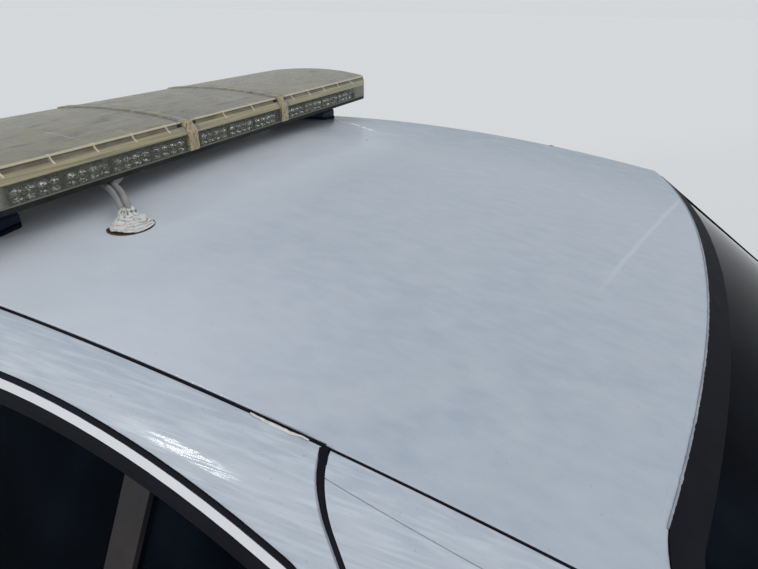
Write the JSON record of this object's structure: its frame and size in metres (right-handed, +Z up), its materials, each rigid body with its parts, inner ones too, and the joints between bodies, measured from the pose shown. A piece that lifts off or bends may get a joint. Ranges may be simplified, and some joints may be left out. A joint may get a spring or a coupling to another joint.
{
  "type": "patrol car roof section with light bar",
  "caption": "Upper body of a full-size patrol sedan from the waist line up: crowned roof, door tops, glass, folding sun visors and a roof-wide clear light bar with its cable.",
  "frame": {"origin": "centre of the section's footprint on the waist plane, where the cut pillars end", "axes": "+X to the car's left, +Y to its rear, +Z up"},
  "size_m": [1.7646, 2.8385, 0.652],
  "materials": {
    "body_paint": "aged white gloss paint",
    "inner_frame": "grained grey trim",
    "screen_glass": "clear laminated glass",
    "tinted_glass": "dark tinted glass",
    "black_rubber": "weathered black rubber",
    "dark_frame": "satin dark grey paint",
    "bright_trim": "bright moulding with haze",
    "dark_plastic": "grained black plastic",
    "lining_fabric": "foam-backed grey cloth",
    "clear_lens": "hazed clear plastic lens",
    "weathered_band": "yellowed and cracked plastic",
    "lamp_reflector": "bright reflector cups",
    "foot_paint": "satin black",
    "strap_steel": "plain steel strap",
    "cable_sheath": "sheath painted over in grey white",
    "roof_sealant": "lumpy white sealant",
    "visor_vinyl": "grained grey vinyl",
    "lamp_cover": "frosted lamp cover"
  },
  "bodies": {
    "shell": {"bar_base": "dark_plastic", "bar_cable_front": "cable_sheath", "bar_cable_rear": "cable_sheath", "bar_foot_left": "foot_paint", "bar_foot_right": "foot_paint", "bar_joint_bands": "weathered_band", "bar_lamps_front": "lamp_reflector", "bar_lamps_rear": "lamp_reflector", "bar_lens_left": "clear_lens", "bar_lens_middle": "clear_lens", "bar_lens_right": "clear_lens", "bar_pad_left": "black_rubber", "bar_pad_right": "black_rubber", "bar_strap_left": "strap_steel", "bar_strap_right": "strap_steel", "cabin_mirror": "dark_plastic", "cable_seal": "roof_sealant", "cowl_strip": "dark_plastic", "division_bar_left": "dark_frame", "division_bar_right": "dark_frame", "dome_lamp": "lamp_cover", "front_door_frame_left": "body_paint", "front_door_frame_right": "body_paint", "front_door_glass_left": "tinted_glass", "front_door_glass_right": "tinted_glass", "headliner": "lining_fabric", "rear_door_frame_left": "body_paint", "rear_door_frame_right": "body_paint", "rear_door_glass_left": "tinted_glass", "rear_door_glass_right": "tinted_glass", "rear_glass": "tinted_glass", "rear_glass_header": "inner_frame", "rear_glass_seal": "black_rubber", "rear_pillar_panel_left": "body_paint", "rear_pillar_panel_right": "body_paint", "roof_panel": "body_paint", "roof_side_strip_left": "body_paint", "roof_side_strip_right": "body_paint", "shelf_edge": "dark_plastic", "side_frame_left": "inner_frame", "side_frame_right": "inner_frame", "visor_holders_left": "dark_plastic", "visor_holders_right": "dark_plastic", "window_rubber_left": "black_rubber", "window_rubber_right": "black_rubber", "window_trim_left": "bright_trim", "window_trim_right": "bright_trim", "windshield": "screen_glass", "windshield_header": "inner_frame", "windshield_pillar_left": "body_paint", "windshield_pillar_right": "body_paint", "windshield_seal": "black_rubber"},
    "visor_left": {"sun_visor_left": "visor_vinyl"},
    "visor_right": {"sun_visor_right": "visor_vinyl"}
  },
  "joints": [
    {"name": "visor_left_fold", "type": "hinge", "parent": "shell", "child": "visor_left", "pos_m": [0.28996, -0.525, 0.46873], "axis": [-1, 0, 0], "range_deg": [0, 120]},
    {"name": "visor_right_fold", "type": "hinge", "parent": "shell", "child": "visor_right", "pos_m": [-0.28996, -0.525, 0.46873], "axis": [-1, 0, 0], "range_deg": [0, 120]}
  ]
}
